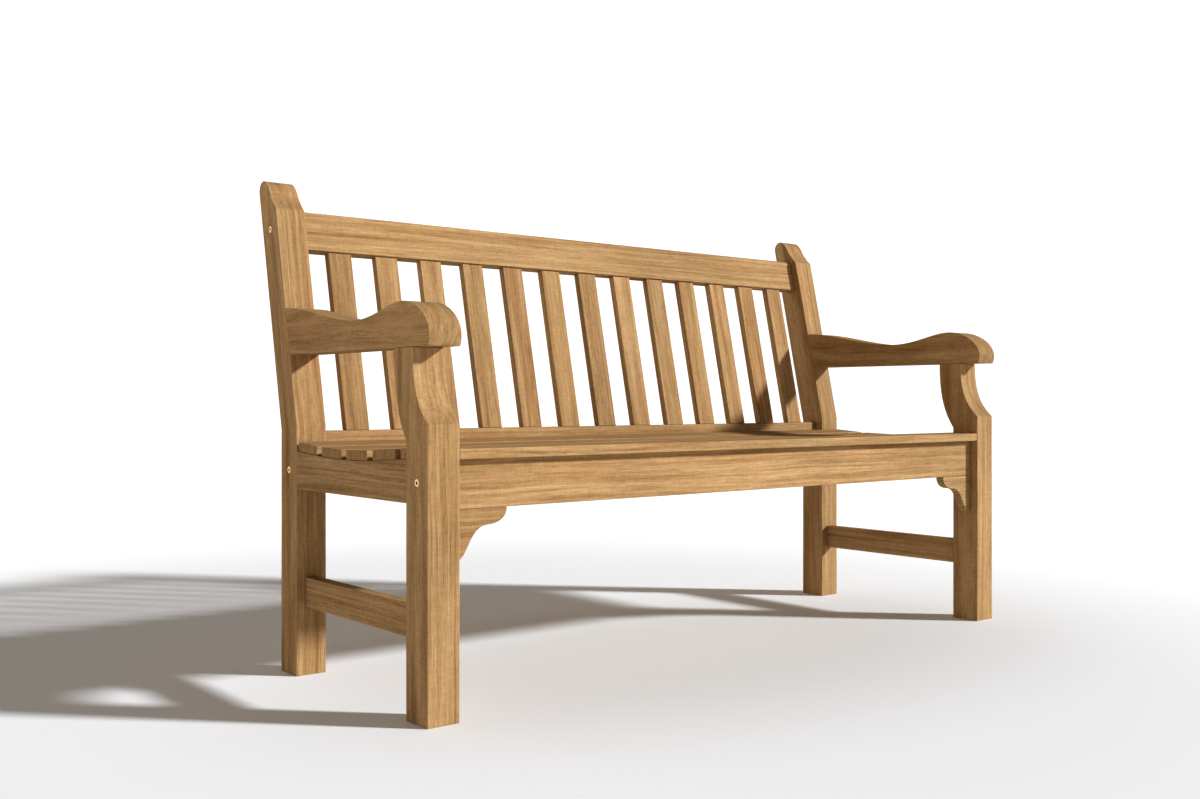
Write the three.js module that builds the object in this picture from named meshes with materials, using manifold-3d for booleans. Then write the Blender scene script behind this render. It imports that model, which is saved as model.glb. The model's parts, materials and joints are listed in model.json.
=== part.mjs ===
// A wooden garden bench with arms: four legs joined by rails and stretchers, a dished seat of
// five slats, and a raked back of thirteen upright slats between two rails.
// Millimetres, +Z up, the sitter faces -Y, and the origin is on the ground under the middle.
import * as THREE from "three";
import { mergeVertices } from "three/addons/utils/BufferGeometryUtils.js";
import Module from "manifold-3d";

const wasm = await Module();
wasm.setup();

// ---------------------------------------------------------------- driving dimensions
const LENGTH = 1500; // over the outer faces of the legs
const GAP = 0.3; // left between pieces that touch
const TENON_LENGTH = 20;
const TENON_THICKNESS = 12;
const SHOULDER = 8; // how much narrower a tenon is than its board, at each edge

const LEG_WIDTH = 58.7; // along the bench
const LEG_DEPTH = 64.5; // front to back
const FOOT_CHAMFER = 2;
const STEP_FRONT = 465; // height at which the front of a front leg starts to step back
const STEP_BACK = 438;
const LEG_TOP_FRONT = 45; // front and back of a front leg where it meets the arm
const LEG_TOP_BACK = 102;
const REAR_LEG_Y = 457; // front face of the rear legs, from the front face of the front legs
const BEND_Z = 455; // height at which the rear legs lean back
const RAKE = THREE.MathUtils.degToRad(12.4);

const RAIL_THICKNESS = 26.5;
const RAIL_BOTTOM = 330;
const REAR_RAIL_TOP = 445;
const SIDE_RAIL_BOTTOM = 340.5;
const TOP_RAIL_LOW = 346.5; // up the raked legs, from their bend
const TOP_RAIL_HIGH = 424;
const TOP_RAIL_ROUND = 7;

const STRETCHER_THICKNESS = 24;
const STRETCHER_LOW = 124;
const STRETCHER_HIGH = 179;
const STRETCHER_ROUND = 5;

const SEAT_HEIGHT = 426.3; // at the front and back edges of the dish
const SEAT_DISH = 8.6;
const SEAT_SLATS = 4; // in the dish, behind the flat front slat
const SEAT_SLAT_WIDTH = 73.3;
const SEAT_SLAT_GAP = 18.3;
const SEAT_SLAT_THICKNESS = 16.5;
const SEAT_SLAT_ROUND = 2;
const FRONT_SLAT_WIDTH = 83.3;
const SLAT_END_INSET = 1; // seat slats stop this far inside the legs' outer faces
const BEARER_WIDTH = 40;
const BEARER_BOTTOM = 352;
const SCREW_RADIUS = 2;
const SCREW_HEAD_RADIUS = 4;
const SCREW_HEAD_THICKNESS = 2.5;
const SCREW_IN_SLAT = 10;
const SCREW_IN_BEARER = 30;

const BACK_SLATS = 13;
const BACK_SLAT_WIDTH = 49.5;
const BACK_SLAT_THICKNESS = 16;
const BACK_SLAT_TENON = 15;

const ARM_BOTTOM = 586;
const ARM_REAR_TOP = 671.7; // where the arm meets the rear leg
const ARM_NOSE = -5.5; // the arm's foremost point, just ahead of the legs
const ARM_TENON_HEIGHT = 28;
const ARM_TENON_INSET = 15; // from the faces of the arm
const ARM_REAR_TENON_LOW = 603;
const ARM_REAR_TENON_HIGH = 648;

const BRACKET_WIDTH = 102; // along the front rail
const BRACKET_HEIGHT = 80; // down the leg
const BRACKET_THICKNESS = 19;

const BOLT_HEIGHT = 374; // of the bolts into the front and rear rails
const BOLT_RADIUS = 3;
const BOLT_LENGTH = 108;
const HEAD_RADIUS = 6.5;
const HEAD_THICKNESS = 3;
const SOCKET_RADIUS = 2.4; // corner radius of the hexagonal socket
const SOCKET_DEPTH = 2;
const NUT_RADIUS = 5;
const NUT_LENGTH = 18;
const NUT_INSET = 40; // from the end of the rail's shoulder
const DOWEL_RADIUS = 4;
const DOWEL_LENGTH = 30;

// ---------------------------------------------------------------- worked out from them
const LEG_MIDDLE = LEG_DEPTH / 2;
const INNER = LENGTH / 2 - LEG_WIDTH; // inner faces of the legs
const REAR_MIDDLE = REAR_LEG_Y + LEG_MIDDLE;
const FRONT_RAIL_TOP = SEAT_HEIGHT - SEAT_SLAT_THICKNESS - GAP; // it carries the front slat
const DISH_FRONT = FRONT_SLAT_WIDTH;
const DISH_BACK = DISH_FRONT + SEAT_SLATS * (SEAT_SLAT_WIDTH + SEAT_SLAT_GAP);
const DISH_MIDDLE = (DISH_FRONT + DISH_BACK) / 2;
const DISH_HALF = (DISH_BACK - DISH_FRONT) / 2;
const DISH_RADIUS = (DISH_HALF ** 2 + SEAT_DISH ** 2) / (2 * SEAT_DISH);
const FRONT_SCREW_Y = (LEG_DEPTH + FRONT_SLAT_WIDTH) / 2;
const BACK_GAP = (2 * INNER - BACK_SLATS * BACK_SLAT_WIDTH) / (BACK_SLATS + 1);

// ---------------------------------------------------------------- materials
const SIDES = { left: -1, right: 1 };

function teak() {
  return new THREE.MeshStandardMaterial({ color: 0xb98a56, roughness: 0.62, metalness: 0 });
}

function brass() {
  return new THREE.MeshStandardMaterial({ color: 0xd8b878, roughness: 0.35, metalness: 1 });
}

function steel() {
  return new THREE.MeshStandardMaterial({ color: 0x9a9a96, roughness: 0.4, metalness: 1 });
}

// ---------------------------------------------------------------- solids
function solid(geometry) {
  const bare = geometry.clone();
  bare.deleteAttribute("normal");
  bare.deleteAttribute("uv");
  const merged = mergeVertices(bare, 1e-4);
  return new wasm.Manifold(
    new wasm.Mesh({
      numProp: 3,
      vertProperties: merged.attributes.position.array,
      triVerts: new Uint32Array(merged.index.array),
    }),
  );
}

function geometryOf(made) {
  const mesh = made.getMesh();
  const geometry = new THREE.BufferGeometry();
  geometry.setAttribute("position", new THREE.BufferAttribute(mesh.vertProperties, 3));
  geometry.setIndex(new THREE.BufferAttribute(mesh.triVerts, 1));
  const flat = geometry.toNonIndexed();
  flat.computeVertexNormals();
  return flat;
}

// A block between pairs of coordinates, each pair in either order.
function block([x0, x1], [y0, y1], [z0, z1]) {
  const box = new THREE.BoxGeometry(Math.abs(x1 - x0), Math.abs(y1 - y0), Math.abs(z1 - z0));
  return solid(box.translate((x0 + x1) / 2, (y0 + y1) / 2, (z0 + z1) / 2));
}

// An outline drawn in Y and Z, as thick along X as the two coordinates say.
function alongX(outline, [x0, x1], curveSegments = 10) {
  const options = { depth: Math.abs(x1 - x0), bevelEnabled: false, curveSegments };
  const axes = new THREE.Matrix4().makeBasis(
    new THREE.Vector3(0, 1, 0),
    new THREE.Vector3(0, 0, 1),
    new THREE.Vector3(1, 0, 0),
  );
  const geometry = new THREE.ExtrudeGeometry(outline, options).applyMatrix4(axes);
  return solid(geometry.translate(Math.min(x0, x1), 0, 0));
}

// An outline drawn in X and Z, as thick along Y as the two coordinates say.
function alongY(outline, [y0, y1], curveSegments = 10) {
  const options = { depth: Math.abs(y1 - y0), bevelEnabled: false, curveSegments };
  const geometry = new THREE.ExtrudeGeometry(outline, options).rotateX(Math.PI / 2);
  return solid(geometry.translate(0, Math.max(y0, y1), 0));
}

function rod(radius, length, segments = 20) {
  return new THREE.CylinderGeometry(radius, radius, length, segments);
}

// A round bar along X, Y or Z between two coordinates, through a point on the other two axes.
function barX(radius, [x0, x1], y, z, segments) {
  const bar = rod(radius, Math.abs(x1 - x0), segments).rotateZ(Math.PI / 2);
  return solid(bar.translate((x0 + x1) / 2, y, z));
}

function barY(radius, x, [y0, y1], z, segments) {
  return solid(rod(radius, Math.abs(y1 - y0), segments).translate(x, (y0 + y1) / 2, z));
}

function barZ(radius, x, y, [z0, z1], segments) {
  const bar = rod(radius, Math.abs(z1 - z0), segments).rotateX(Math.PI / 2);
  return solid(bar.translate(x, y, (z0 + z1) / 2));
}

// A rectangle in Y and Z with its edges eased to a small radius.
function easedRectangle([y0, y1], [z0, z1], radius) {
  const outline = new THREE.Shape();
  outline.moveTo(y0 + radius, z0);
  outline.absarc(y1 - radius, z0 + radius, radius, -Math.PI / 2, 0);
  outline.absarc(y1 - radius, z1 - radius, radius, 0, Math.PI / 2);
  outline.absarc(y0 + radius, z1 - radius, radius, Math.PI / 2, Math.PI);
  outline.absarc(y0 + radius, z0 + radius, radius, Math.PI, 1.5 * Math.PI);
  return outline;
}

// ---------------------------------------------------------------- the scene graph
// bench holds pieces square to the ground. backrest leans with the rear legs: its Z runs up the
// front face of the leg from the bend, and its Y runs back through the leg.
const bench = new THREE.Group();
const backrest = new THREE.Group();
backrest.position.set(0, REAR_LEG_Y, BEND_Z);
backrest.rotation.x = -RAKE;
backrest.updateMatrix();
bench.add(backrest);

function place(group, name, made, material) {
  const mesh = new THREE.Mesh(geometryOf(made), material);
  mesh.name = name;
  group.add(mesh);
}

function leaned(made) {
  return made.transform(backrest.matrix.elements);
}

function upright(made) {
  return made.transform(backrest.matrix.clone().invert().elements);
}

// The front face of a rear leg at a height above its bend.
function legFace(z) {
  return REAR_LEG_Y + (z - BEND_Z) * Math.tan(RAKE);
}

// Distance inwards from the outer face of the legs on one side, as an X coordinate.
function inward(side, distance) {
  return side * (LENGTH / 2 - distance);
}

function span(side, near, far) {
  return [inward(side, near), inward(side, far)];
}

// Height of the top of the seat's dish at a distance behind the front face of the legs.
function dish(y) {
  return SEAT_HEIGHT - SEAT_DISH + DISH_RADIUS - Math.sqrt(DISH_RADIUS ** 2 - (y - DISH_MIDDLE) ** 2);
}

// Height of the underside of the seat slats.
function slatUnderside(y) {
  return dish(THREE.MathUtils.clamp(y, DISH_FRONT, DISH_BACK)) - SEAT_SLAT_THICKNESS;
}

// The middles of the five slats, where the bearer's screws stand.
function screwPlaces() {
  const places = [FRONT_SCREW_Y];
  for (let i = 0; i < SEAT_SLATS; i += 1) {
    places.push(seatSlatFront(i) + SEAT_SLAT_WIDTH / 2);
  }
  return places;
}

// ---------------------------------------------------------------- joints
// The tenon that runs from a rail's end into a leg, grown by GAP it is the mortise.
function railTenon(side, yMiddle, [z0, z1], grow = 0) {
  const half = TENON_THICKNESS / 2 + grow;
  return block(
    span(side, LEG_WIDTH - TENON_LENGTH - grow, LEG_WIDTH + 5),
    [yMiddle - half, yMiddle + half],
    [z0 + SHOULDER - grow, z1 - SHOULDER + grow],
  );
}

// The tenons that run front to back from a side rail or a stretcher into the two legs.
function sideTenons(side, middle, [z0, z1], grow = 0) {
  const half = TENON_THICKNESS / 2 + grow;
  const reach = TENON_LENGTH + grow;
  return block(
    span(side, middle - half, middle + half),
    [LEG_DEPTH - reach, REAR_LEG_Y + reach],
    [z0 + SHOULDER - grow, z1 - SHOULDER + grow],
  );
}

function sideRailTenons(side, grow) {
  const z = [SIDE_RAIL_BOTTOM, slatUnderside(DISH_MIDDLE)];
  return sideTenons(side, RAIL_THICKNESS / 2, z, grow);
}

function stretcherTenons(side, grow) {
  return sideTenons(side, LEG_WIDTH / 2, [STRETCHER_LOW, STRETCHER_HIGH], grow);
}

// The hole for a connector bolt through a leg, with the pocket for its head.
function boltHole(side, y, z) {
  const shank = barX(BOLT_RADIUS + GAP, span(side, -1, BOLT_LENGTH + 3), y, z);
  return shank.add(barX(HEAD_RADIUS + GAP, span(side, -1, HEAD_THICKNESS + 2 * GAP), y, z, 28));
}

function boltMiddle(side) {
  return inward(side, LEG_WIDTH + NUT_INSET);
}

// The cross hole for a barrel nut, open at the back of the rail.
function nutHole(side, yMiddle, z, back) {
  return barY(NUT_RADIUS + GAP, boltMiddle(side), [yMiddle - NUT_LENGTH / 2 - GAP, back + 1], z);
}

function connectorBolt(side, y, z) {
  const shank = barX(BOLT_RADIUS, span(side, GAP + 1, BOLT_LENGTH), y, z, 16);
  const head = barX(HEAD_RADIUS, span(side, GAP, GAP + HEAD_THICKNESS), y, z, 28);
  const socket = barX(SOCKET_RADIUS, span(side, 0, GAP + SOCKET_DEPTH), y, z, 6);
  return shank.add(head).subtract(socket);
}

function barrelNut(side, yMiddle, z) {
  const ends = [yMiddle - NUT_LENGTH / 2, yMiddle + NUT_LENGTH / 2];
  const thread = barX(BOLT_RADIUS + GAP, span(side, 0, LENGTH / 4), yMiddle, z, 16);
  return barY(NUT_RADIUS, boltMiddle(side), ends, z).subtract(thread);
}

// ---------------------------------------------------------------- rails
function frontRail() {
  const y = [LEG_MIDDLE - RAIL_THICKNESS / 2, LEG_MIDDLE + RAIL_THICKNESS / 2];
  const z = [RAIL_BOTTOM, FRONT_RAIL_TOP];
  let rail = block([GAP - INNER, INNER - GAP], y, z);
  for (const side of Object.values(SIDES)) {
    rail = rail
      .add(railTenon(side, LEG_MIDDLE, z))
      .subtract(boltHole(side, LEG_MIDDLE, BOLT_HEIGHT))
      .subtract(nutHole(side, LEG_MIDDLE, BOLT_HEIGHT, y[1]))
      .subtract(bracketDowel(side, GAP));
  }
  return rail.subtract(bearerTenons(GAP));
}

function rearRail() {
  const y = [REAR_MIDDLE - RAIL_THICKNESS / 2, REAR_MIDDLE + RAIL_THICKNESS / 2];
  const z = [RAIL_BOTTOM, REAR_RAIL_TOP];
  let rail = block([GAP - INNER, INNER - GAP], y, z);
  for (const side of Object.values(SIDES)) {
    rail = rail
      .add(railTenon(side, REAR_MIDDLE, z))
      .subtract(boltHole(side, REAR_MIDDLE, BOLT_HEIGHT))
      .subtract(nutHole(side, REAR_MIDDLE, BOLT_HEIGHT, y[1]));
  }
  for (let i = 0; i < BACK_SLATS; i += 1) {
    rail = rail.subtract(leaned(backSlatTenon(i, [-BACK_SLAT_TENON, 20], GAP)));
  }
  return rail.subtract(bearerTenons(GAP));
}

// The top rail, drawn in the leaning frame, with its front top edge rounded over.
function backTopRail() {
  const front = LEG_MIDDLE - RAIL_THICKNESS / 2;
  const back = LEG_MIDDLE + RAIL_THICKNESS / 2;
  const round = TOP_RAIL_ROUND;
  const middle = (TOP_RAIL_LOW + TOP_RAIL_HIGH) / 2;
  const outline = new THREE.Shape();
  outline.moveTo(front, TOP_RAIL_LOW);
  outline.lineTo(back, TOP_RAIL_LOW);
  outline.lineTo(back, TOP_RAIL_HIGH);
  outline.absarc(front + round, TOP_RAIL_HIGH - round, round, Math.PI / 2, Math.PI);
  let rail = alongX(outline, [GAP - INNER, INNER - GAP], 5);
  for (const side of Object.values(SIDES)) {
    rail = rail
      .add(railTenon(side, LEG_MIDDLE, [TOP_RAIL_LOW, TOP_RAIL_HIGH]))
      .subtract(boltHole(side, LEG_MIDDLE, middle))
      .subtract(nutHole(side, LEG_MIDDLE, middle, back));
  }
  for (let i = 0; i < BACK_SLATS; i += 1) {
    rail = rail.subtract(backSlatTenon(i, [TOP_RAIL_LOW - 1, TOP_RAIL_LOW + BACK_SLAT_TENON], GAP));
  }
  return rail;
}

// Carries an outline along the underside of the seat slats, GAP below them.
function followSlats(outline, from, to, steps = 14) {
  for (let i = 0; i <= steps; i += 1) {
    const y = from + ((to - from) * i) / steps;
    outline.lineTo(y, slatUnderside(y) - GAP);
  }
}

// A side rail, flush with the outer faces of the legs, its top cut to carry the dished seat.
function sideRail(side) {
  const front = LEG_DEPTH + GAP;
  const back = REAR_LEG_Y - GAP;
  const outline = new THREE.Shape();
  outline.moveTo(front, SIDE_RAIL_BOTTOM);
  outline.lineTo(back, SIDE_RAIL_BOTTOM);
  followSlats(outline, back, front);
  return alongX(outline, span(side, 0, RAIL_THICKNESS)).add(sideRailTenons(side, 0));
}

function stretcher(side) {
  const middle = inward(side, LEG_WIDTH / 2);
  const low = middle - STRETCHER_THICKNESS / 2;
  const high = middle + STRETCHER_THICKNESS / 2;
  const round = STRETCHER_ROUND;
  const outline = new THREE.Shape();
  outline.moveTo(high, STRETCHER_HIGH);
  outline.lineTo(low, STRETCHER_HIGH);
  outline.absarc(low + round, STRETCHER_LOW + round, round, Math.PI, 1.5 * Math.PI);
  outline.absarc(high - round, STRETCHER_LOW + round, round, -Math.PI / 2, 0);
  const bar = alongY(outline, [LEG_DEPTH + GAP, REAR_LEG_Y - GAP], 4);
  return bar.add(stretcherTenons(side, 0));
}

// ---------------------------------------------------------------- legs
function footChamfers(y0, y1) {
  const c = FOOT_CHAMFER;
  const outline = new THREE.Shape();
  outline.moveTo(y0 + c, 0);
  outline.lineTo(y1 - c, 0);
  outline.lineTo(y1, c);
  return outline;
}

// The front leg is cut to a double curve above the seat, where it steps back under the arm.
function frontLeg(side) {
  const outline = footChamfers(0, LEG_DEPTH);
  outline.lineTo(LEG_DEPTH, STEP_BACK);
  outline.bezierCurveTo(86.5, 471, LEG_TOP_BACK, 505, LEG_TOP_BACK, ARM_BOTTOM - GAP);
  outline.lineTo(LEG_TOP_FRONT, ARM_BOTTOM - GAP);
  outline.bezierCurveTo(LEG_TOP_FRONT, 520, 29, 491, 0, STEP_FRONT);
  outline.lineTo(0, FOOT_CHAMFER);
  return alongX(outline, span(side, 0, LEG_WIDTH), 12)
    .add(armTenon(side, 0))
    .subtract(railTenon(side, LEG_MIDDLE, [RAIL_BOTTOM, FRONT_RAIL_TOP], GAP))
    .subtract(sideRailTenons(side, GAP))
    .subtract(stretcherTenons(side, GAP))
    .subtract(boltHole(side, LEG_MIDDLE, BOLT_HEIGHT));
}

// The rear leg bends back at seat height and ends in a shaped ear above the top rail.
function rearLeg(side) {
  const back = REAR_LEG_Y + LEG_DEPTH;
  const lean = (y, z) => new THREE.Vector3(0, y, z).applyMatrix4(backrest.matrix);
  const outline = footChamfers(REAR_LEG_Y, back);
  const curve = (...numbers) => {
    const [a, b, c] = [0, 2, 4].map((i) => lean(numbers[i], numbers[i + 1]));
    outline.bezierCurveTo(a.y, a.z, b.y, b.z, c.y, c.z);
  };
  const backBend = BEND_Z - LEG_DEPTH * Math.tan(RAKE / 2);
  outline.lineTo(back, backBend);
  const shoulder = lean(LEG_DEPTH, 467);
  outline.lineTo(shoulder.y, shoulder.z);
  curve(LEG_DEPTH, 478, 56, 486, 46, 486);
  curve(34, 486, 24, 468, 20.5, 455);
  curve(17, 442, 8, 428, 0, 416);
  outline.lineTo(REAR_LEG_Y, BEND_Z);
  outline.lineTo(REAR_LEG_Y, FOOT_CHAMFER);
  const topMiddle = (TOP_RAIL_LOW + TOP_RAIL_HIGH) / 2;
  return alongX(outline, span(side, 0, LEG_WIDTH), 8)
    .subtract(railTenon(side, REAR_MIDDLE, [RAIL_BOTTOM, REAR_RAIL_TOP], GAP))
    .subtract(leaned(railTenon(side, LEG_MIDDLE, [TOP_RAIL_LOW, TOP_RAIL_HIGH], GAP)))
    .subtract(sideRailTenons(side, GAP))
    .subtract(stretcherTenons(side, GAP))
    .subtract(armRearTenon(side, GAP))
    .subtract(boltHole(side, REAR_MIDDLE, BOLT_HEIGHT))
    .subtract(leaned(boltHole(side, LEG_MIDDLE, topMiddle)));
}

// ---------------------------------------------------------------- arms
function armTenon(side, grow) {
  const inset = ARM_TENON_INSET - grow;
  return block(
    span(side, inset, LEG_WIDTH - inset),
    [LEG_TOP_FRONT + SHOULDER - grow, LEG_TOP_BACK - SHOULDER + grow],
    [ARM_BOTTOM - 2, ARM_BOTTOM + ARM_TENON_HEIGHT + grow],
  );
}

function armRearTenon(side, grow) {
  const inset = ARM_TENON_INSET - grow;
  return block(
    span(side, inset, LEG_WIDTH - inset),
    [legFace(ARM_REAR_TENON_LOW) - 5, legFace(ARM_REAR_TENON_LOW) + TENON_LENGTH + grow],
    [ARM_REAR_TENON_LOW - grow, ARM_REAR_TENON_HIGH + grow],
  );
}

// The arm: flat below, dipped where the forearm lies, with a hump and a rounded nose in front.
function armrest(side) {
  const outline = new THREE.Shape();
  outline.moveTo(-1, ARM_BOTTOM);
  outline.lineTo(legFace(ARM_BOTTOM) - GAP, ARM_BOTTOM);
  outline.lineTo(legFace(ARM_REAR_TOP) - GAP, ARM_REAR_TOP);
  outline.bezierCurveTo(430, 672, 320, 635.5, 233, 635.5);
  outline.bezierCurveTo(170, 635.5, 120, 659, 80, 659);
  outline.bezierCurveTo(40, 659, ARM_NOSE, 635, ARM_NOSE, 602);
  outline.bezierCurveTo(ARM_NOSE, 594, -3, 589, -1, ARM_BOTTOM);
  return alongX(outline, span(side, 0, LEG_WIDTH), 9)
    .add(armRearTenon(side, 0))
    .subtract(armTenon(side, GAP));
}

// ---------------------------------------------------------------- seat
function bearerTenons(grow) {
  const half = BEARER_WIDTH / 2 - SHOULDER + grow;
  const reach = TENON_THICKNESS / 2 + grow;
  return block(
    [-half, half],
    [LEG_MIDDLE + RAIL_THICKNESS / 2 - reach, REAR_MIDDLE - RAIL_THICKNESS / 2 + reach],
    [BEARER_BOTTOM + SHOULDER - grow, slatUnderside(DISH_MIDDLE) - SHOULDER + grow],
  );
}

// The bearer under the middle of the seat, from the front rail to the rear rail.
function seatBearer() {
  const front = LEG_MIDDLE + RAIL_THICKNESS / 2 + GAP;
  const back = REAR_MIDDLE - RAIL_THICKNESS / 2 - GAP;
  const outline = new THREE.Shape();
  outline.moveTo(front, BEARER_BOTTOM);
  outline.lineTo(back, BEARER_BOTTOM);
  followSlats(outline, back, front);
  let bearer = alongX(outline, [-BEARER_WIDTH / 2, BEARER_WIDTH / 2]).add(bearerTenons(0));
  for (const y of screwPlaces()) {
    bearer = bearer.subtract(bearerScrewHole(y));
  }
  return bearer;
}

// Where the front edge of a slat in the dish lies, behind the front face of the legs.
function seatSlatFront(index) {
  return DISH_FRONT + SEAT_SLAT_GAP + index * (SEAT_SLAT_WIDTH + SEAT_SLAT_GAP);
}

// A slat of the dish: a flat board that lies on the chord of the dish between its two edges.
function seatSlat(index) {
  const front = seatSlatFront(index);
  const half = SEAT_SLAT_WIDTH / 2;
  const rise = dish(front + SEAT_SLAT_WIDTH) - dish(front);
  const height = (dish(front + SEAT_SLAT_WIDTH) + dish(front)) / 2;
  const outline = easedRectangle([-half, half], [-SEAT_SLAT_THICKNESS, 0], SEAT_SLAT_ROUND);
  const reach = LENGTH / 2 - SLAT_END_INSET;
  const tilted = new THREE.Matrix4()
    .makeTranslation(0, front + half, height)
    .multiply(new THREE.Matrix4().makeRotationX(Math.atan2(rise, SEAT_SLAT_WIDTH)));
  return alongX(outline, [-reach, reach], 3)
    .transform(tilted.elements)
    .subtract(bearerScrew(front + half, GAP));
}

// The front slat: it fills the space between the front legs and is notched round them.
function frontSeatSlat() {
  const outline = easedRectangle(
    [0.5, FRONT_SLAT_WIDTH],
    [SEAT_HEIGHT - SEAT_SLAT_THICKNESS, SEAT_HEIGHT],
    SEAT_SLAT_ROUND,
  );
  const reach = LENGTH / 2 - SLAT_END_INSET;
  let slat = alongX(outline, [-reach, reach], 3);
  for (const side of Object.values(SIDES)) {
    const notch = block(span(side, -1, LEG_WIDTH + GAP), [-1, LEG_DEPTH + GAP], [400, 440]);
    slat = slat.subtract(notch);
  }
  return slat.subtract(bearerScrew(FRONT_SCREW_Y, GAP));
}

// A screw driven up through the bearer into the middle of a slat.
function bearerScrew(y, grow = 0) {
  const under = slatUnderside(y);
  const head = under - SCREW_IN_BEARER;
  const shank = barZ(SCREW_RADIUS + grow, 0, y, [head, under + SCREW_IN_SLAT + grow], 12);
  return shank.add(barZ(SCREW_HEAD_RADIUS + grow, 0, y, [head, head + SCREW_HEAD_THICKNESS + grow], 20));
}

// The hole for that screw, deepened from below so that the head lies inside the bearer.
function bearerScrewHole(y) {
  const head = slatUnderside(y) - SCREW_IN_BEARER;
  const pocket = barZ(SCREW_HEAD_RADIUS + 1, 0, y, [BEARER_BOTTOM - 1, head + SCREW_HEAD_THICKNESS], 20);
  return bearerScrew(y, GAP).add(pocket);
}

// ---------------------------------------------------------------- back slats
function backSlatX(index) {
  return -INNER + BACK_GAP + BACK_SLAT_WIDTH / 2 + index * (BACK_SLAT_WIDTH + BACK_GAP);
}

// A slat's tenon between two heights in the leaning frame, grown by GAP it is the mortise.
function backSlatTenon(index, [low, high], grow = 0) {
  const x = backSlatX(index);
  const half = BACK_SLAT_WIDTH / 2 - 5 + grow;
  const depth = BACK_SLAT_THICKNESS / 2 - 3 + grow;
  return block([x - half, x + half], [LEG_MIDDLE - depth, LEG_MIDDLE + depth], [low - grow, high + grow]);
}

// An upright slat, in the leaning frame: its foot is cut level to stand on the rear rail.
function backSlat(index) {
  const x = backSlatX(index);
  const half = BACK_SLAT_WIDTH / 2;
  const depth = BACK_SLAT_THICKNESS / 2;
  const board = block(
    [x - half, x + half],
    [LEG_MIDDLE - depth, LEG_MIDDLE + depth],
    [-20, TOP_RAIL_LOW - GAP],
  );
  const below = upright(
    block([x - 60, x + 60], [400, 560], [REAR_RAIL_TOP - 60, REAR_RAIL_TOP + GAP]),
  );
  return board
    .subtract(below)
    .add(backSlatTenon(index, [-BACK_SLAT_TENON, 10]))
    .add(backSlatTenon(index, [TOP_RAIL_LOW - 10, TOP_RAIL_LOW + BACK_SLAT_TENON - GAP]));
}

// ---------------------------------------------------------------- corner brackets
function bracketDowel(side, grow = 0) {
  const x = side * (INNER - BRACKET_WIDTH * 0.55);
  const y = LEG_MIDDLE - RAIL_THICKNESS / 2 + BRACKET_THICKNESS / 2;
  const half = DOWEL_LENGTH / 2 + grow;
  return barZ(DOWEL_RADIUS + grow, x, y, [RAIL_BOTTOM - half, RAIL_BOTTOM + half]);
}

// A shaped bracket in the corner between a front leg and the front rail.
function cornerBracket(side) {
  const top = RAIL_BOTTOM - GAP;
  const low = top - BRACKET_HEIGHT;
  const x = (distance) => side * (INNER - GAP - distance);
  const outline = new THREE.Shape();
  outline.moveTo(x(0), top);
  outline.lineTo(x(0), low);
  outline.lineTo(x(9), low);
  outline.bezierCurveTo(x(27), low + 4, x(30), low + 53, x(66), low + 53.5);
  outline.bezierCurveTo(x(86), low + 54, x(BRACKET_WIDTH), low + 63, x(BRACKET_WIDTH), top);
  const front = LEG_MIDDLE - RAIL_THICKNESS / 2;
  return alongY(outline, [front, front + BRACKET_THICKNESS], 10).subtract(bracketDowel(side, GAP));
}

// ---------------------------------------------------------------- assembly
place(bench, "front_rail", frontRail(), teak());
place(bench, "rear_rail", rearRail(), teak());
place(backrest, "back_top_rail", backTopRail(), teak());
place(bench, "seat_bearer", seatBearer(), teak());
place(bench, "seat_slat_1", frontSeatSlat(), teak());
for (let i = 0; i < SEAT_SLATS; i += 1) {
  place(bench, `seat_slat_${i + 2}`, seatSlat(i), teak());
}
for (let i = 0; i < BACK_SLATS; i += 1) {
  place(backrest, `back_slat_${String(i + 1).padStart(2, "0")}`, backSlat(i), teak());
}

screwPlaces().forEach((y, i) => {
  place(bench, `bearer_screw_${i + 1}`, bearerScrew(y), steel());
});

for (const [name, side] of Object.entries(SIDES)) {
  const topMiddle = (TOP_RAIL_LOW + TOP_RAIL_HIGH) / 2;
  place(bench, `front_leg_${name}`, frontLeg(side), teak());
  place(bench, `rear_leg_${name}`, rearLeg(side), teak());
  place(bench, `armrest_${name}`, armrest(side), teak());
  place(bench, `side_rail_${name}`, sideRail(side), teak());
  place(bench, `stretcher_${name}`, stretcher(side), teak());
  place(bench, `corner_bracket_${name}`, cornerBracket(side), teak());
  place(bench, `bracket_dowel_${name}`, bracketDowel(side), teak());
  place(bench, `front_bolt_${name}`, connectorBolt(side, LEG_MIDDLE, BOLT_HEIGHT), brass());
  place(bench, `rear_bolt_${name}`, connectorBolt(side, REAR_MIDDLE, BOLT_HEIGHT), brass());
  place(backrest, `top_bolt_${name}`, connectorBolt(side, LEG_MIDDLE, topMiddle), brass());
  place(bench, `front_nut_${name}`, barrelNut(side, LEG_MIDDLE, BOLT_HEIGHT), steel());
  place(bench, `rear_nut_${name}`, barrelNut(side, REAR_MIDDLE, BOLT_HEIGHT), steel());
  place(backrest, `top_nut_${name}`, barrelNut(side, LEG_MIDDLE, topMiddle), steel());
}

// The origin is moved from the front of the legs to the middle of the bench's depth.
const extent = new THREE.Box3().setFromObject(bench);
bench.position.y = -(extent.min.y + extent.max.y) / 2;
const root = new THREE.Group();
root.add(bench);
export default root;
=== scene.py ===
# %% [markdown]
# # A teak garden bench
# A bench is a kit of boards: legs, rails, arms and slats, sawn to shape, eased along every
# edge and drawn together with brass bolts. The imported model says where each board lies. Here
# every board is sawn again as its own mesh, with eased edges and bored holes, and is given a
# figure that runs along its length, because what the eye reads as real wood is the arris and
# the grain.

# %% The frame
import json
import math
import random

import bmesh
import bpy
import numpy as np
from mathutils import Matrix, Vector
from mathutils.geometry import interpolate_bezier

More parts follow.
